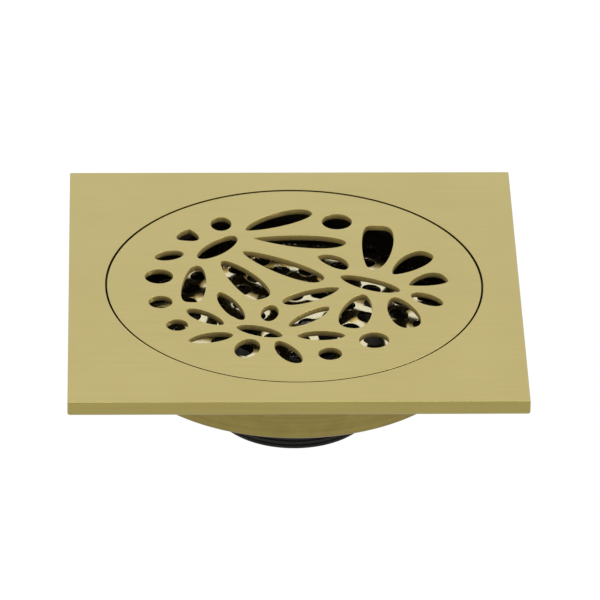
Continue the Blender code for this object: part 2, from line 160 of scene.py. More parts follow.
def rounded(piece, width, segments=2, angle=38):
    return applied(
        piece, "BEVEL", width=width * mm, segments=segments, limit_method="ANGLE",
        angle_limit=radians(angle), use_clamp_overlap=True, miter_outer="MITER_ARC",
    )


def finished(piece, body, node, materials, angle=42):
    pick(piece)
    bpy.ops.object.shade_smooth_by_angle(angle=radians(angle))
    applied(piece, "WEIGHTED_NORMAL", mode="FACE_AREA", weight=90, keep_sharp=True)
    if not piece.data.materials:
        for material in materials:
            piece.data.materials.append(material)
    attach(piece, body)
    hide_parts(node)
    print("made", piece.name, len(piece.data.polygons), "faces")
    return piece


def hexColour(code):
    parts = [int(code[k:k + 2], 16) / 255 for k in (1, 3, 5)]
    linear = [c / 12.92 if c <= 0.04045 else ((c + 0.055) / 1.055) ** 2.4 for c in parts]
    return (*linear, 1.0)


def addNode(tree, kind, inputs=None, **settings):
    node = tree.nodes.new("ShaderNode" + kind)
    for key, value in settings.items():
        setattr(node, key, value)
    for socket, value in (inputs or {}).items():
        if isinstance(value, bpy.types.NodeSocket):
            tree.links.new(value, node.inputs[socket])
        else:
            node.inputs[socket].default_value = value
    return node


def newMaterial(name, **shaderInputs):
    material = bpy.data.materials.new(name)
    material.use_nodes = True
    tree = material.node_tree
    tree.nodes.clear()
    shader = addNode(tree, "BsdfPrincipled", shaderInputs)
    output = addNode(tree, "OutputMaterial", {"Surface": shader.outputs["BSDF"]})
    shader.location, output.location = (-300, 0), (0, 0)
    place = addNode(tree, "TexCoord").outputs["Object"]
    return material, tree, shader, place


def grain(tree, place, size, detail=3.0, rough=0.6, distortion=0.0):
    # noise whose blobs measure size = (x, y, z) in mm
    scaled = addNode(
        tree, "Mapping", {"Vector": place, "Scale": tuple(1000 / s for s in size)}
    )
    noise = addNode(tree, "TexNoise", {
        "Vector": scaled.outputs["Vector"], "Scale": 1.0, "Detail": detail,
        "Roughness": rough, "Distortion": distortion,
    })
    return noise.outputs["Fac"]


def spread(tree, value, low, high, fromLow=0.3, fromHigh=0.7):
    # noise keeps to the middle of its range, so that middle is stretched to run from low to high
    return addNode(tree, "MapRange", {
        "Value": value, "From Min": fromLow, "From Max": fromHigh,
        "To Min": low, "To Max": high,
    }).outputs["Result"]


def toned(tree, dark, light, *shares):
    # a colour between the two that lightens as each texture rises, by its share of the change
    tones = [spread(tree, texture, 0.0, share) for texture, share in shares]
    tone = tones[0]
    for more in tones[1:]:
        tone = addNode(tree, "Math", {0: tone, 1: more}, operation="ADD").outputs[0]
    mix = addNode(tree, "Mix", {0: tone, 6: hexColour(dark), 7: hexColour(light)}, data_type="RGBA")
    return mix.outputs[2]


def surfaced(tree, shader, colour, rough, relief):
    # rough is a texture with its lowest and highest roughness, relief one with its depth in mm
    height, depth, strength = relief
    bump = addNode(tree, "Bump", {"Height": height, "Distance": depth * mm, "Strength": strength})
    tree.links.new(colour, shader.inputs["Base Color"])
    tree.links.new(spread(tree, *rough), shader.inputs["Roughness"])
    tree.links.new(bump.outputs["Normal"], shader.inputs["Normal"])


brushedSettings = {
    "light": "#c2b263", "dark": "#b5a455", "roughness": (0.33, 0.41),
    "strokeLength": 26.0, "strokeWidth": 0.32,  # drawn coarser than the real 0.05 mm grit lines
    "depth": 0.010, "cloud": 22.0,
}


def makeBrushedBrass(name, settings):
    # lacquered brass, belt-brushed along X: a soft even sheen with faint straight strokes
    material, tree, shader, place = newMaterial(name, **{
        "Metallic": 1.0, "Coat Weight": 1.0, "Coat Roughness": 0.28, "Coat IOR": 1.5,
    })
    width, length = settings["strokeWidth"], settings["strokeLength"]
    strokes = grain(tree, place, (length, width, width), detail=4.0, rough=0.65)
    cloud = grain(tree, place, (settings["cloud"],) * 3, detail=2.0)
    colour = toned(tree, settings["dark"], settings["light"], (strokes, 0.7), (cloud, 0.3))
    surfaced(
        tree, shader, colour, rough=(strokes, *settings["roughness"]),
        relief=(strokes, settings["depth"], 0.5),
    )
    return material


turnedSettings = {
    "light": "#b3a156", "dark": "#8f7f3e", "roughness": (0.36, 0.48),
    "ringWidth": 0.45, "depth": 0.02, "cloud": 9.0,
}


def makeTurnedBrass(name, settings):
    # lathe-turned brass, dull from the tool: fine level rings and a darker, uneven tone
    material, tree, shader, place = newMaterial(name, **{
        "Metallic": 1.0, "Coat Weight": 0.5, "Coat Roughness": 0.35, "Coat IOR": 1.5,
    })
    rings = grain(tree, place, (60.0, 60.0, settings["ringWidth"]), detail=3.0, rough=0.7)
    cloud = grain(tree, place, (settings["cloud"],) * 3, detail=3.0, distortion=0.4)
    colour = toned(tree, settings["dark"], settings["light"], (rings, 0.5), (cloud, 0.5))
    surfaced(
        tree, shader, colour, rough=(rings, *settings["roughness"]),
        relief=(rings, settings["depth"], 0.6),
    )
    return material


def makePaintedShadeBrass(name, deep, paler, metallic):
    # painted shade: brass coloured near-black where shade falls, rough and dull
    material, tree, shader, place = newMaterial(name, **{"Metallic": metallic})
    skin = grain(tree, place, (0.6, 0.6, 0.6), detail=4.0, rough=0.6)
    cloud = grain(tree, place, (7.0, 7.0, 7.0), detail=2.0)
    colour = toned(tree, deep, paler, (cloud, 1.0))
    surfaced(tree, shader, colour, rough=(skin, 0.5, 0.68), relief=(skin, 0.06, 0.6))
    return material


cutSettings = {
    # the first colour is painted shade along the foot of the cut walls
    "footShade": "#7d6f44", "dark": "#b8a566", "light": "#cdb976", "roughness": (0.42, 0.56),
    "footShadeLevels": (30.6, 31.5),  # painted shade at the foot: full at the first height, gone at the second
    "depth": 0.02,
}


def makeCutBrass(name, settings):
    # the walls that the cutter left: matt, with fine streaks down the cut and painted shade
    # darkening them towards the foot
    material, tree, shader, place = newMaterial(name, **{"Metallic": 0.65})
    streaks = grain(tree, place, (0.25, 0.25, 3.0), detail=3.0)
    height = addNode(tree, "SeparateXYZ", {"Vector": place}).outputs["Z"]
    foot, clear = (level * mm for level in settings["footShadeLevels"])
    # painted shade: the wall darkens towards its foot by height
    unshaded = spread(tree, height, 0.0, 1.0, foot, clear)
    bright = toned(tree, settings["dark"], settings["light"], (streaks, 1.0))
    colour = addNode(tree, "Mix", {
        0: unshaded, 6: hexColour(settings["footShade"]), 7: bright,
    }, data_type="RGBA").outputs[2]
    surfaced(
        tree, shader, colour, rough=(streaks, *settings["roughness"]),
        relief=(streaks, settings["depth"], 0.5),
    )
    return material


polishedSettings = {
    "light": "#ece4c4", "dark": "#d6cba2", "roughness": (0.08, 0.18), "depth": 0.03,
}


def makePolishedBrass(name, settings):
    # pressed and tumble-polished brass: bright, with slight waviness in the reflections
    material, tree, shader, place = newMaterial(name, **{"Metallic": 1.0})
    waves = grain(tree, place, (6.0, 6.0, 6.0), detail=2.0)
    fine = grain(tree, place, (0.5, 0.5, 0.5), detail=3.0)
    colour = toned(tree, settings["dark"], settings["light"], (fine, 1.0))
    surfaced(
        tree, shader, colour, rough=(fine, *settings["roughness"]),
        relief=(waves, settings["depth"], 0.4),
    )
    return material


def makeSteel(name, light, dark, roughness, grainSize):
    # bright drawn or turned steel: neutral grey with fine tool marks
    material, tree, shader, place = newMaterial(name, **{"Metallic": 1.0})
    marks = grain(tree, place, grainSize, detail=3.0)
    colour = toned(tree, dark, light, (marks, 1.0))
    surfaced(tree, shader, colour, rough=(marks, *roughness), relief=(marks, 0.01, 0.5))
    return material


def makeMoulded(name, light, dark, roughness, grit=0.25, depth=0.012, ior=1.5, **more):
    # injection-moulded plastic or rubber: one colour, a fine spark-eroded grain, soft mottling
    material, tree, shader, place = newMaterial(name, **{"IOR": ior, **more})
    texture = grain(tree, place, (grit,) * 3, detail=3.0)
    cloud = grain(tree, place, (5.0,) * 3, detail=2.0)
    colour = toned(tree, dark, light, (texture, 0.5), (cloud, 0.5))
    surfaced(tree, shader, colour, rough=(texture, *roughness), relief=(texture, depth, 0.5))
    return material


brushedBrass = makeBrushedBrass("brushedLacqueredBrass", brushedSettings)
turnedBrass = makeTurnedBrass("turnedBrass", turnedSettings)
# near-black painted shade for the inside of the cup
cupPaintedShade = makePaintedShadeBrass("cupPaintedShadeBrass", "#0d0c08", "#1d1a10", 0.6)
# near-black painted shade for the grate's underside and rim wall
gratePaintedShade = makePaintedShadeBrass("gratePaintedShadeBrass", "#2a2412", "#3d351b", 0.9)
cutBrass = makeCutBrass("cutBrassWall", cutSettings)
polishedBrass = makePolishedBrass("polishedPressedBrass", polishedSettings)
blackAbs = makeMoulded("blackMouldedAbs", "#161718", "#0c0c0d", (0.34, 0.46))
blackRubber = makeMoulded("blackMouldedRubber", "#101111", "#080808", (0.50, 0.68), depth=0.02)
nitrileRubber = makeMoulded("nitrileRubber", "#141414", "#0a0a0a", (0.36, 0.50))
greySilicone = makeMoulded("greySilicone", "#9a9a97", "#868683", (0.42, 0.55), ior=1.41)
whiteSilicone = makeMoulded("whiteSilicone", "#ece9e2", "#dcd8ce", (0.42, 0.55), ior=1.41)
greyAbs = makeMoulded("greyMouldedAbs", "#3b3c3e", "#303133", (0.36, 0.48))
whiteAbs = makeMoulded("whiteMouldedAbs", "#efeee9", "#dfddd6", (0.34, 0.46))
springSteel = makeSteel("drawnSpringSteel", "#c9cacc", "#a9aaad", (0.20, 0.34), (0.5, 0.5, 0.5))
screwSteel = makeSteel("rolledStainlessSteel", "#d0cfcc", "#b2b1ae", (0.24, 0.38), (6.0, 6.0, 0.3))
nutSteel = makeSteel("turnedStainlessSteel", "#cdccc8", "#b0afab", (0.26, 0.40), (3.0, 3.0, 0.25))
print("materials made")


body = {
    "thickness": 3.6, "lowerEdge": 0.8, "topEdge": 0.2,
    "recess": 41.95, "seat": 30.3, "cupOuter": 40.5, "cupBore": 37.9, "cupBottom": 16.5,
    "ledge": 24.7, "sump": 34.0, "floor": 18.8, "spigotOuter": 21.0, "bore": 18.2,
    "cupEdge": 0.5, "neck": 0.8, "spigotEdge": 0.6, "steps": 192, "edge": 0.07,
}


def makeDrainBody():
    low, high = (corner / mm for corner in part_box("drain_body"))
    top, bottom = high.z, high.z - body["thickness"]
    side = high.x - low.x
    deselectAll()
    bpy.ops.mesh.primitive_cube_add(
        size=1, location=(0, 0, (top + bottom) / 2 * mm),
        scale=(side * mm, side * mm, body["thickness"] * mm),
    )
    piece = settle(named("drainBody"))
    for level, size, segments in ((bottom, body["lowerEdge"], 5), (top, body["topEdge"], 3)):
        selectBy(piece, "EDGE", lambda ends: all(abs(p.z - level) < 0.001 for p in ends))
        bpy.ops.mesh.bevel(offset=size * mm, segments=segments, affect="EDGES", clamp_overlap=True)
        bpy.ops.object.mode_set(mode="OBJECT")

    cup, foot, middle = body["cupOuter"], body["cupBottom"], (top + bottom) / 2
    outside = turned("cupOutside", [
        (0, middle), (cup, middle), (cup, foot + body["cupEdge"]), (cup - body["cupEdge"], foot),
        (body["spigotOuter"] + body["neck"], foot), (body["spigotOuter"], foot - body["neck"]),
        (body["spigotOuter"], low.z + body["spigotEdge"]),
        (body["spigotOuter"] - body["spigotEdge"], low.z), (0, low.z),
    ], body["steps"], closed=False)
    cut(piece, outside, "UNION")
    hollow = turned("cupHollow", [
        (0, top + 2), (body["recess"], top + 2), (body["recess"], body["seat"]),
        (body["cupBore"], body["seat"]), (body["cupBore"], body["ledge"]),
        (body["sump"], body["ledge"]), (body["sump"], body["floor"]),
        (body["bore"], body["floor"]), (body["bore"], low.z - 2), (0, low.z - 2),
    ], body["steps"], closed=False)
    cut(piece, hollow)
    cleanUp(piece)
    rounded(piece, body["edge"], segments=2)
    for material in (brushedBrass, turnedBrass, cupPaintedShade):
        piece.data.materials.append(material)
    # inside the cup it is painted near-black as shade, under the plate and in the recess turned,
    # elsewhere brushed
    for face in piece.data.polygons:
        centre = face.center / mm
        radius = hypot(centre.x, centre.y)
        outward = face.normal.x * centre.x + face.normal.y * centre.y
        facesIn = face.normal.z > 0.3 or outward < -0.3 * radius
        withinLevels = body["floor"] - 0.1 < centre.z < body["seat"] + 0.02
        inCup = radius < body["recess"] - 0.1 and withinLevels
        inRecess = radius < body["recess"] + 0.02 and centre.z < top - 0.02
        if inCup and facesIn:
            face.material_index = 2
        elif inRecess or centre.z < bottom - 0.05:
            face.material_index = 1
    return finished(piece, "drain", "drain_body", [])


makeDrainBody()


grate = {"rounding": 0.07, "outlineSteps": 240, "petalSteps": 26, "rimBand": 1.0}

# each cut-out on the grate's plan in mm: base x, y, tip x, y, bulge left and right of that
# line, and how pointed the base and the tip are (0.5 is round, 1 pointed, less than 0.5 blunt)
petals = [
    (-21.1, 11.5, -12.8, 21.3, 2.3, 2.8, 0.5, 0.5),
    (-10.4, 24.0, 4.6, 31.9, 3.5, 2.3, 0.65, 0.45),
    (-8.8, 20.4, 12.0, 18.2, 2.4, 3.2, 0.9, 0.5),
    (-11.2, 14.5, 6.3, 1.7, 2.9, 3.2, 0.65, 0.37),
    (-15.9, 10.4, -7.3, -6.3, 3.8, 2.7, 0.6, 0.32),
    (-21.5, 8.3, -23.0, -7.7, 2.8, 2.6, 0.45, 0.27),
    (17.5, 6.3, 18.6, 25.9, 2.6, 4.5, 0.45, 0.22),
    (22.1, 4.3, 30.4, 13.7, 3.2, 2.9, 0.7, 0.38),
    (25.4, -0.5, 34.2, 1.7, 4.1, 1.4, 0.8, 0.42),
    (26.0, -4.1, 32.5, -9.1, 2.1, 2.2, 0.52, 0.5),
    (10.4, 3.6, 23.4, -3.0, 2.1, 2.8, 0.6, 0.55),
    (21.8, -5.7, 25.5, -18.8, 3.2, 3.3, 0.6, 0.38),
    (15.2, -4.4, 11.9, -18.9, 3.5, 3.5, 0.6, 0.36),
    (-16.7, -3.3, -11.6, -15.3, 1.85, 2.15, 0.6, 0.55),
    (-23.8, -10.6, -15.9, -17.2, 1.9, 2.2, 0.55, 0.6),
    (-5.1, -9.0, -6.2, -15.9, 1.95, 1.95, 0.5, 0.5),
    (-13.1, -18.2, -3.1, -22.3, 2.2, 1.9, 0.6, 0.6),
    (-23.6, -24.2, -13.9, -21.6, 2.1, 2.0, 0.55, 0.55),
    (-9.8, -23.5, -12.0, -31.3, 2.8, 2.7, 0.5, 0.5),
    (-4.2, -24.3, 0.5, -33.6, 2.0, 2.5, 0.6, 0.5),
    (9.9, -1.6, -2.6, -8.1, 2.4, 2.35, 0.65, 0.45),
    (-1.5, -18.1, 7.4, -9.8, 1.8, 2.1, 0.6, 0.6),
    (0.2, -22.1, 10.7, -22.1, 1.95, 1.95, 0.6, 0.6),
    (5.6, 12.5, 11.7, 6.4, 3.0, 1.4, 0.6, 0.55),
    (-15.9, 23.7, -15.9, 29.8, 2.35, 2.35, 0.5, 0.5),
    (-23.2, 24.5, -24.0, 19.3, 2.9, 2.2, 0.8, 0.3),
    (-30.8, 11.6, -24.5, 13.9, 2.0, 2.0, 0.5, 0.5),
    (-30.0, 0.45, -30.0, 6.75, 3.15, 3.15, 0.5, 0.5),
    (-29.7, -10.2, -29.7, -4.85, 2.65, 2.65, 0.5, 0.5),
    (-26.1, -19.9, -26.1, -15.0, 2.4, 2.4, 0.5, 0.5),
    (10.2, 24.2, 10.2, 31.1, 3.4, 3.4, 0.5, 0.5),
    (17.0, -27.4, 17.0, -20.8, 3.3, 3.3, 0.5, 0.5),
    (7.2, -32.4, 7.2, -27.2, 2.6, 2.6, 0.5, 0.5),
]


def petalOutline(baseX, baseY, tipX, tipY, left, right, basePoint, tipPoint):
    base = Vector((baseX, baseY))
    along = Vector((tipX, tipY)) - base
    across = Vector((-along.y, along.x)) / hypot(along.x, along.y)
    widest = basePoint / (basePoint + tipPoint)
    peak = widest ** basePoint * (1 - widest) ** tipPoint
    count = grate["petalSteps"]
    fractions = [(1 - cos(pi * k / count)) / 2 for k in range(count + 1)]
    outline = []
    for bulge, stations in ((-right, fractions[:-1]), (left, fractions[:0:-1])):
        for t in stations:
            half = bulge * t ** basePoint * (1 - t) ** tipPoint / peak
            outline.append(base + along * t + across * half)
    return outline


def makePetalGrate():
    low, high = (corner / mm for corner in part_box("petal_grate"))
    radius = high.x
    count = grate["outlineSteps"]
    rim = [
        Vector((radius * cos(2 * pi * k / count), radius * sin(2 * pi * k / count)))
        for k in range(count)
    ]
    plan = bpy.data.curves.new("petalGrate", "CURVE")
    plan.dimensions = "2D"
    plan.fill_mode = "BOTH"
    plan.extrude = ((high.z - low.z) / 2 - grate["rounding"]) * mm
    plan.bevel_depth = grate["rounding"] * mm
    plan.bevel_resolution = 2
    plan.offset = -grate["rounding"] * mm
    for outline in [rim] + [petalOutline(*values) for values in petals]:
        line = plan.splines.new("POLY")
        line.points.add(len(outline) - 1)
        for point, place in zip(line.points, outline):
            point.co = (place.x * mm, place.y * mm, 0, 1)
        line.use_cyclic_u = True
    piece = bpy.data.objects.new("petalGrate", plan)
    bpy.context.scene.collection.objects.link(piece)
    pick(piece)
    bpy.ops.object.convert(target="MESH")
    piece = bpy.context.object
    piece.location.z = (low.z + high.z) / 2 * mm
    settle(piece)
    cleanUp(piece)
    for material in (brushedBrass, cutBrass, gratePaintedShade):
        piece.data.materials.append(material)
    # the underside and the rim wall get near-black painted shade, for the shade under the grate and
    # in the gap round it
    for face in piece.data.polygons:
        centre = face.center / mm
        atRim = hypot(centre.x, centre.y) > radius - grate["rimBand"]
        if face.normal.z < -0.5 or atRim and face.normal.z < 0.3:
            face.material_index = 2
        elif not atRim and face.normal.z < 0.5:
            face.material_index = 1
    return finished(piece, "grate", "petal_grate", [])


makePetalGrate()


strainer = {
    "rise": 3.15, "sheet": 0.8, "domeRadius": 34.4, "hole": 2.15, "pitch": 5.94,
    "turns": (9.0, 13.8, 13.5, 1.1, 6.0),  # degrees to the first hole of each ring
    "steps": 144, "bands": 20, "holeSteps": 24, "rimRounding": 0.22,
    "drillLength": 12, "drillMiddle": 3,
}


def makeHairStrainer():
    low, high = (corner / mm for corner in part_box("hair_strainer"))
    radius, bottom, sheet, dome = high.x, low.z, strainer["sheet"], strainer["domeRadius"]

    def crown(r):
        return strainer["rise"] * (1 - (r / dome) ** 2) if r < dome else 0.0

    radii = [dome * k / strainer["bands"] for k in range(strainer["bands"] + 1)]
    top = [(r, bottom + sheet + crown(r)) for r in radii]
    under = [(r, bottom + crown(r)) for r in reversed(radii)]
    edge = [(radius, bottom + sheet), (radius, bottom)]
    piece = turned("hairStrainer", top + edge + under, strainer["steps"], closed=False)

    rings = int((dome - strainer["hole"]) / strainer["pitch"])
    places = [(0.0, 0.0)]
    for ring in range(1, rings + 1):
        count = 6 * ring
        for k in range(count):
            a = radians(strainer["turns"][ring - 1]) + 2 * pi * k / count
            places.append((strainer["pitch"] * ring * cos(a), strainer["pitch"] * ring * sin(a)))
    deselectAll()
    drills = []
    for x, y in places:
        bpy.ops.mesh.primitive_cylinder_add(
            vertices=strainer["holeSteps"], radius=strainer["hole"] * mm,
            depth=strainer["drillLength"] * mm,
            location=(x * mm, y * mm, (bottom + strainer["drillMiddle"]) * mm),
        )
        drills.append(bpy.context.object)
    drill = pick(*drills)
    bpy.ops.object.join()
    settle(drill)
    cut(piece, drill)
    cleanUp(piece)
    rounded(piece, strainer["rimRounding"], segments=2, angle=50)
    return finished(piece, "strainer", "hair_strainer", [polishedBrass])


makeHairStrainer()


core = {
    "flange": (22.5, 20.6, 22.1), "tube": 17.3, "bore": 15.4, "taper": 0.8, "shoulder": 9.3,
    "end": 16.3, "endBore": 14.6, "endBottom": 5.7, "groove": (16.2, 15.0, 17.0),
    "hub": 3.4, "hubBore": 1.9, "hubLow": 6.0, "hubHigh": 9.3, "hubSteps": 48,
    "ribThickness": 1.4, "ribHeight": 2.7, "steps": 144, "edge": 0.16,
    "pinMark": 1.2, "pinMarkDepth": 0.12, "pinMarkRing": 20.0, "pinMarkSteps": 24,
}


def makeCoreHousing():
    reach, low, high = core["flange"]
    inner, grooveLow, grooveHigh = core["groove"]
    tube, taper, shoulder = core["tube"], core["taper"], core["shoulder"]
    piece = turned("coreHousing", [
        (reach, high), (reach, low), (tube, low), (tube, grooveHigh), (inner, grooveHigh),
        (inner, grooveLow), (tube, grooveLow), (tube, shoulder), (core["end"], shoulder),
        (core["end"], core["endBottom"]), (core["endBore"], core["endBottom"]),
        (core["endBore"], shoulder + taper), (core["bore"], shoulder + 2 * taper),
        (core["bore"], high - taper), (core["bore"] + taper, high),
    ], core["steps"])
    # three ribs, each from within the hub to the middle of the end ring's wall
    start, stop = core["hubBore"] + 0.2, (core["endBore"] + core["end"]) / 2
    for k in range(3):
        deselectAll()
        bpy.ops.mesh.primitive_cube_add(
            size=1,
            location=((start + stop) / 2 * mm, 0, (core["hubLow"] + core["ribHeight"] / 2) * mm),
            scale=((stop - start) * mm, core["ribThickness"] * mm, core["ribHeight"] * mm),
        )
        rib = settle(named("rib"))
        bpy.ops.object.mode_set(mode="EDIT")
        bpy.ops.mesh.select_all(action="SELECT")
        bpy.ops.transform.rotate(value=2 * pi * k / 3, orient_axis="Z", center_override=(0, 0, 0))
        bpy.ops.object.mode_set(mode="OBJECT")
        cut(piece, rib, "UNION")
    hub = turned("hub", [
        (0, core["hubHigh"]), (core["hub"], core["hubHigh"]),
        (core["hub"], core["hubLow"]), (0, core["hubLow"]),
    ], core["hubSteps"], closed=False)
    cut(piece, hub, "UNION")
    drill = turned("hubDrill", [
        (0, core["hubHigh"] + 1), (core["hubBore"], core["hubHigh"] + 1),
        (core["hubBore"], core["hubLow"] - 1), (0, core["hubLow"] - 1),
    ], core["hubSteps"], closed=False)
    cut(piece, drill)
    # ejector pin marks in the flange, midway between the ribs
    for k in range(3):
        a = radians(60 + 120 * k)
        x, y = core["pinMarkRing"] * cos(a), core["pinMarkRing"] * sin(a)
        deselectAll()
        bpy.ops.mesh.primitive_cylinder_add(
            vertices=core["pinMarkSteps"], radius=core["pinMark"] * mm,
            depth=2 * core["pinMarkDepth"] * mm,
            location=(x * mm, y * mm, high * mm),
        )
        cut(piece, settle(named("pinMark")))
    cleanUp(piece)
    rounded(piece, core["edge"], segments=2)
    return finished(piece, "core", "core_housing", [blackAbs])


seat = {
    "outer": 17.7, "height": 9.0, "bore": 15.5, "lip": (12.6, 4.4, 5.4), "collar": 16.6,
    "ridges": 4, "pitch": 1.1, "land": 0.6, "depth": 0.35, "grooveHalf": 0.06,
    "steps": 144, "edge": 0.09,
}


def makeSeatRing():
    outer, pitch, land = seat["outer"], seat["pitch"], seat["land"]
    lipBore, lipLow, lipHigh = seat["lip"]
    profile = [(outer, seat["height"])]
    for ridge in reversed(range(seat["ridges"])):
        foot = ridge * pitch
        groove = foot + (pitch + land) / 2
        profile += [
            (outer, foot + pitch), (outer - seat["depth"], groove + seat["grooveHalf"]),
            (outer - seat["depth"], groove - seat["grooveHalf"]), (outer, foot + land),
        ]
    profile += [
        (outer, 0), (seat["bore"], 0), (seat["bore"], lipLow), (lipBore, lipLow),
        (lipBore, lipHigh), (seat["collar"], lipHigh), (seat["collar"], seat["height"]),
    ]
    piece = turned("seatRing", profile, seat["steps"])
    rounded(piece, seat["edge"], segments=3)
    return finished(piece, "core", "seat_ring", [blackRubber])


gasket = {
    "inner": 17.6, "bead": 19.9, "beadHalf": 0.5, "beadHeight": 0.15, "steps": 144, "edge": 0.18,
}


def makeCoreGasket():
    # flat silicone washer with a sealing bead moulded round its upper face
    low, high = (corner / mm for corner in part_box("core_gasket"))
    inner, outer, bead, half = gasket["inner"], high.x, gasket["bead"], gasket["beadHalf"]
    face = high.z - gasket["beadHeight"]
    piece = turned("coreGasket", [
        (outer, face), (outer, low.z), (inner, low.z), (inner, face),
        (bead - half, face), (bead, high.z), (bead + half, face),
    ], gasket["steps"])
    rounded(piece, gasket["edge"], segments=3, angle=20)
    return finished(piece, "core", "core_gasket", [greySilicone])


oring = {"ring": 17.2, "section": 0.7, "steps": 144, "sectionSteps": 20, "crest": 0.05}


def makeCoreOring():
    low, high = (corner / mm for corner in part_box("core_oring"))
    deselectAll()
    bpy.ops.mesh.primitive_torus_add(
        major_segments=oring["steps"], minor_segments=oring["sectionSteps"],
        major_radius=oring["ring"] * mm, minor_radius=oring["section"] * mm,
        location=(0, 0, (low.z + high.z) / 2 * mm),
    )
    piece = settle(named("coreOring"))
    # the mould's parting line shows as a faint crest round the outside
    outermost = oring["ring"] + oring["section"] - 0.01
    selectBy(piece, "EDGE", lambda ends: all(hypot(p.x, p.y) > outermost for p in ends))
    bpy.ops.mesh.bevel(offset=oring["crest"] * mm, segments=2, affect="EDGES")
    bpy.ops.object.mode_set(mode="OBJECT")
    return finished(piece, "core", "core_oring", [nitrileRubber], angle=60)


spring = {
    "radius": 3.6, "wire": 0.6, "turns": 5.5, "pointsPerTurn": 40, "travel": 7.0, "ground": 0.1,
    "closing": 0.5,  # how much closer the coils lie at both ends
}


def makeValveSpring():
    low, high = (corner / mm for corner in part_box("valve_spring"))
    bottom, top = low.z + spring["wire"] / 2, high.z - spring["wire"] / 2
    count = ceil(spring["turns"] * spring["pointsPerTurn"])
    wire = bpy.data.curves.new("valveSpring", "CURVE")
    wire.dimensions = "3D"
    wire.bevel_depth = spring["wire"] / 2 * mm
    wire.bevel_resolution = 3
    wire.use_fill_caps = True
    line = wire.splines.new("POLY")
    line.points.add(count)
    for k, point in enumerate(line.points):
        t = k / count
        angle = 2 * pi * spring["turns"] * t
        height = bottom + (top - bottom) * (t - spring["closing"] * sin(2 * pi * t) / (2 * pi))
        x, y = spring["radius"] * cos(angle), spring["radius"] * sin(angle)
        point.co = (x * mm, y * mm, height * mm, 1)
    piece = bpy.data.objects.new("valveSpring", wire)
    bpy.context.scene.collection.objects.link(piece)
    pick(piece)
    bpy.ops.object.convert(target="MESH")
    piece = cleanUp(bpy.context.object)
    # both ends are ground flat, so the spring stands square
    for level, side in ((low.z + spring["ground"], -1), (high.z - spring["ground"], 1)):
        pick(piece)
        bpy.ops.object.mode_set(mode="EDIT")
        bpy.ops.mesh.select_all(action="SELECT")
        bpy.ops.mesh.bisect(
            plane_co=(0, 0, level * mm), plane_no=(0, 0, side), use_fill=True, clear_outer=True,
        )
        bpy.ops.object.mode_set(mode="OBJECT")
    cleanUp(piece, 0.0002)
    finished(piece, "core", "valve_spring", [springSteel])
    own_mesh(piece)


makeCoreHousing()
makeSeatRing()
makeCoreGasket()
makeCoreOring()
makeValveSpring()


disc = {
    "reach": 14.9, "low": 1.0, "high": 2.4, "edge": 0.4, "boss": 5.0, "bossTop": 4.1,
    "pocket": 3.3, "pocketTop": 2.3, "bore": 1.8, "grooveInner": 8.6, "grooveOuter": 9.4,
    "grooveDepth": 0.3, "grooveSlope": 0.2, "steps": 120, "rounding": 0.12,
}


def makeValveDisc():
    reach, low, high = disc["reach"], disc["low"], disc["high"]
    slope, depth = disc["grooveSlope"], disc["grooveDepth"]
    piece = turned("valveDisc", [
        (disc["boss"], disc["bossTop"]), (disc["boss"], high), (reach, high),
        (reach, low + disc["edge"]), (reach - disc["edge"], low),
        (disc["grooveOuter"], low), (disc["grooveOuter"] - slope, low + depth),
        (disc["grooveInner"] + slope, low + depth), (disc["grooveInner"], low),
        (disc["pocket"], low), (disc["pocket"], disc["pocketTop"]),
        (disc["bore"], disc["pocketTop"]), (disc["bore"], disc["bossTop"]),
    ], disc["steps"])
    rounded(piece, disc["rounding"], segments=3, angle=30)
    return finished(piece, "valve", "valve_disc", [greyAbs])


seal = {
    "inner": 5.3, "outer": 14.6, "low": 2.7, "high": 4.1,
    "bead": 13.6, "beadHalf": 0.45, "beadHeight": 0.16, "steps": 120, "rounding": 0.15,
}


def makeValveSeal():
    inner, outer, low, high = (seal[k] for k in ("inner", "outer", "low", "high"))
    bead, half = seal["bead"], seal["beadHalf"]
    piece = turned("valveSeal", [
        (outer, high), (outer, low), (inner, low), (inner, high), (bead - half, high),
        (bead, high + seal["beadHeight"]), (bead + half, high),
    ], seal["steps"])
    rounded(piece, seal["rounding"], segments=3, angle=15)
    return finished(piece, "valve", "valve_seal", [whiteSilicone])


screw = {
    "head": 3.0, "headLow": 0.7, "headHigh": 2.0, "shank": 1.5, "tip": 0.3,
    "headEdge": ((0, 0.4), (0.25, 0.14), (0.7, 0)),  # how far in and how far up each point lies
    "crossWidth": 0.8, "crossLength": 3.4, "crossDepth": 0.8, "crossTaper": 0.62,
    "threadLength": 7.0, "threadPitch": 0.6, "threadDepth": 0.16, "threadStart": 0.8,
    "threadHalf": 0.42,  # half a groove's width, as a share of the pitch
    "steps": 48, "rounding": 0.05,
}


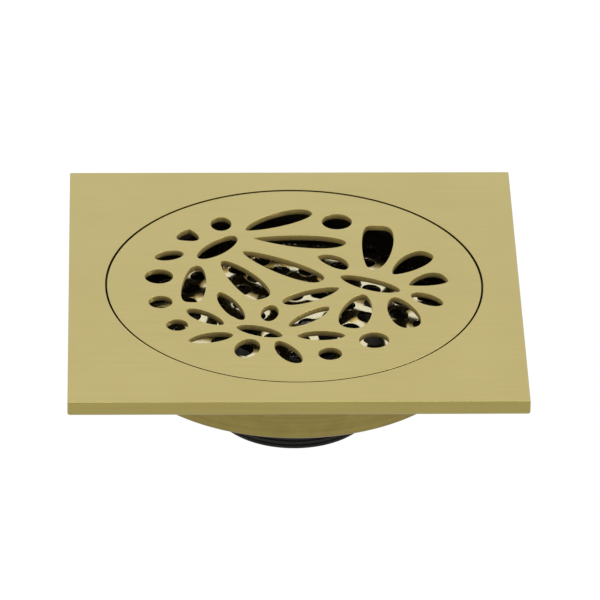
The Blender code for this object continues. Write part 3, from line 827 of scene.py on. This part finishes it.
def makeValveScrew():
    head, headLow, headHigh = screw["head"], screw["headLow"], screw["headHigh"]
    shank, tip = screw["shank"], screw["tip"]
    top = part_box("valve_screw")[1].z / mm
    edge = [(head - inward, headLow + up) for inward, up in screw["headEdge"]]
    piece = turned("valveScrew", [
        (0, top), (shank - tip, top), (shank, top - tip), (shank, headHigh), (head, headHigh),
        *edge, (0, headLow),
    ], screw["steps"], closed=False)
    length, width, taper = screw["crossLength"], screw["crossWidth"], screw["crossTaper"]
    for size in ((length, width), (width, length)):
        deselectAll()
        bpy.ops.mesh.primitive_cube_add(
            size=1, location=(0, 0, headLow * mm),
            scale=(size[0] * mm, size[1] * mm, 2 * screw["crossDepth"] * mm),
        )
        crossTool = settle(named("crossTool"))
        # the recess narrows towards its floor, as a driver's tip does
        selectBy(crossTool, "FACE", lambda corners: all(p.z > headLow for p in corners))
        bpy.ops.transform.resize(value=(taper, taper, 1), center_override=(0, 0, headLow * mm))
        bpy.ops.object.mode_set(mode="OBJECT")
        cut(piece, crossTool)
    # the thread, cut as a string of V grooves at the screw's pitch
    half = screw["threadPitch"] * screw["threadHalf"]
    for k in range(int(screw["threadLength"] / screw["threadPitch"])):
        middle = top - screw["threadStart"] - k * screw["threadPitch"]
        grooveTool = turned("threadTool", [
            (shank + 0.3, middle + half), (shank - screw["threadDepth"], middle),
            (shank + 0.3, middle - half),
        ], screw["steps"])
        cut(piece, grooveTool)
    cleanUp(piece)
    rounded(piece, screw["rounding"], segments=2, angle=40)
    return finished(piece, "valve", "valve_screw", [screwSteel])


cap = {"outer": 5.0, "wall": 0.8, "thickness": 1.0, "bore": 1.8, "steps": 72, "edge": 0.2}


def makeSpringCap():
    low, high = (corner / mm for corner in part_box("spring_cap"))
    plate = high.z - cap["thickness"]
    piece = turned("springCap", [
        (cap["outer"], high.z), (cap["outer"], low.z), (cap["outer"] - cap["wall"], low.z),
        (cap["outer"] - cap["wall"], plate), (cap["bore"], plate), (cap["bore"], high.z),
    ], cap["steps"])
    rounded(piece, cap["edge"], segments=3)
    return finished(piece, "valve", "spring_cap", [whiteAbs])


nut = {"bore": 1.8, "countersink": 0.3, "chamfer": 0.35, "steps": 72, "boreSteps": 48}


def makeStemNut():
    low, high = (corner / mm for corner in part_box("stem_nut"))
    corner = high.x
    deselectAll()
    bpy.ops.mesh.primitive_cylinder_add(
        vertices=6, radius=corner * mm, depth=(high.z - low.z) * mm,
        location=(0, 0, (low.z + high.z) / 2 * mm), rotation=(0, 0, radians(30)),
    )
    piece = settle(named("stemNut"))
    flat = corner * cos(radians(30))
    # the blank's conical ends chamfer the six points
    blank = turned("nutBlank", [
        (0, high.z + 0.01), (flat - 0.05, high.z + 0.01), (corner + 0.1, high.z - nut["chamfer"]),
        (corner + 0.1, low.z + nut["chamfer"]), (flat - 0.05, low.z - 0.01), (0, low.z - 0.01),
    ], nut["steps"], closed=False)
    cut(piece, blank, "INTERSECT")
    sink = nut["countersink"]
    bore = turned("nutBore", [
        (0, high.z + 1), (nut["bore"] + sink + 1, high.z + 1), (nut["bore"], high.z - sink),
        (nut["bore"], low.z + sink), (nut["bore"] + sink + 1, low.z - 1), (0, low.z - 1),
    ], nut["boreSteps"], closed=False)
    cut(piece, bore)
    cleanUp(piece)
    return finished(piece, "valve", "stem_nut", [nutSteel], angle=25)


makeValveDisc()
makeValveSeal()
makeValveScrew()
makeSpringCap()
makeStemNut()


camera = {
    "azimuth": -1.653, "elevation": 30.714, "roll": 0.703, "distance": 1.5504,
    "lens": 419.3, "right": 0.001285, "up": -0.003596,
}


def makeCamera():
    a, e, r = (radians(camera[k]) for k in ("azimuth", "elevation", "roll"))
    back = Vector((sin(a) * cos(e), -cos(a) * cos(e), sin(e)))
    level = Vector((cos(a), sin(a), 0))
    upright = back.cross(level)
    right = cos(r) * level + sin(r) * upright
    up = -sin(r) * level + cos(r) * upright
    middle = Vector((0, 0, cadHigh.z))
    place = middle + back * camera["distance"] + right * camera["right"] + up * camera["up"]
    turn = Matrix((right, up, back)).transposed().to_4x4()
    bpy.ops.object.camera_add()
    lens = bpy.context.object
    lens.data.lens = camera["lens"]
    lens.data.sensor_width = 36
    lens.data.clip_start, lens.data.clip_end = 0.05, 20
    lens.matrix_world = Matrix.Translation(place) @ turn
    bpy.context.scene.camera = lens


studio = {
    "sky": 0.96, "front": 0.55, "frontDirection": (0.0, -0.97, 0.24), "frontSpread": (0.2, 0.95),
    "floorTone": "#c8c8c6", "floorGlow": 0.68, "floorSeen": 1.045,
    "glowShare": 0.7, "seenShare": 0.95, "floorSize": 6,
    # softboxes: where they stand in m, their width in m and their power in W
    "softboxes": (
        ("sideSoftbox", (0.85, -0.15, 0.90), 0.45, 5.0),
        ("frontSoftbox", (-0.10, -0.62, 1.10), 0.35, 1.5),
    ),
}


def makeStudio():
    scene = bpy.context.scene
    scene.view_settings.view_transform = "Standard"
    world = bpy.data.worlds.new("softStudio")
    scene.world = world
    world.use_nodes = True
    tree = world.node_tree
    tree.nodes.clear()
    # the wall behind the viewer is dimmer than the tent round and over the object
    direction = addNode(tree, "TexCoord").outputs["Generated"]
    facing = addNode(tree, "VectorMath", {
        0: direction, 1: studio["frontDirection"],
    }, operation="DOT_PRODUCT")
    start, full = studio["frontSpread"]
    level = addNode(tree, "MapRange", {
        "Value": facing.outputs["Value"], "From Min": start, "From Max": full,
        "To Min": studio["sky"], "To Max": studio["front"],
    }, interpolation_type="SMOOTHSTEP")
    sky = addNode(tree, "Background", {"Color": (1, 1, 1, 1), "Strength": level.outputs["Result"]})
    addNode(tree, "OutputWorld", {"Surface": sky.outputs["Background"]})

    for name, place, width, power in studio["softboxes"]:
        bpy.ops.object.light_add(type="AREA", location=place)
        box = named(name)
        box.data.size = width
        box.data.energy = power
        box.rotation_euler = (-Vector(place)).to_track_quat("-Z", "Y").to_euler()

    deselectAll()
    bpy.ops.mesh.primitive_plane_add(size=studio["floorSize"], location=(0, 0, 0))
    floor = named("studioFloor")
    paint = bpy.data.materials.new("paleFloor")
    paint.use_nodes = True
    tree = paint.node_tree
    tree.nodes.clear()
    matt = addNode(tree, "BsdfDiffuse", {"Color": hexColour(studio["floorTone"])})
    # the floor glows, so that the object's underside is lit as well; the viewer sees it whiter
    seen = addNode(tree, "LightPath").outputs["Is Camera Ray"]
    level = spread(tree, seen, studio["floorGlow"], studio["floorSeen"], 0.0, 1.0)
    glow = addNode(tree, "Emission", {"Color": (1, 1, 1, 1), "Strength": level})
    share = spread(tree, seen, studio["glowShare"], studio["seenShare"], 0.0, 1.0)
    lit = addNode(tree, "MixShader", {0: share, 1: matt.outputs[0], 2: glow.outputs[0]})
    clear = addNode(tree, "BsdfTransparent")
    under = addNode(tree, "NewGeometry").outputs["Backfacing"]
    whole = addNode(tree, "MixShader", {0: under, 1: lit.outputs[0], 2: clear.outputs[0]})
    addNode(tree, "OutputMaterial", {"Surface": whole.outputs[0]})
    floor.data.materials.append(paint)
    print("studio ready")


makeCamera()
makeStudio()
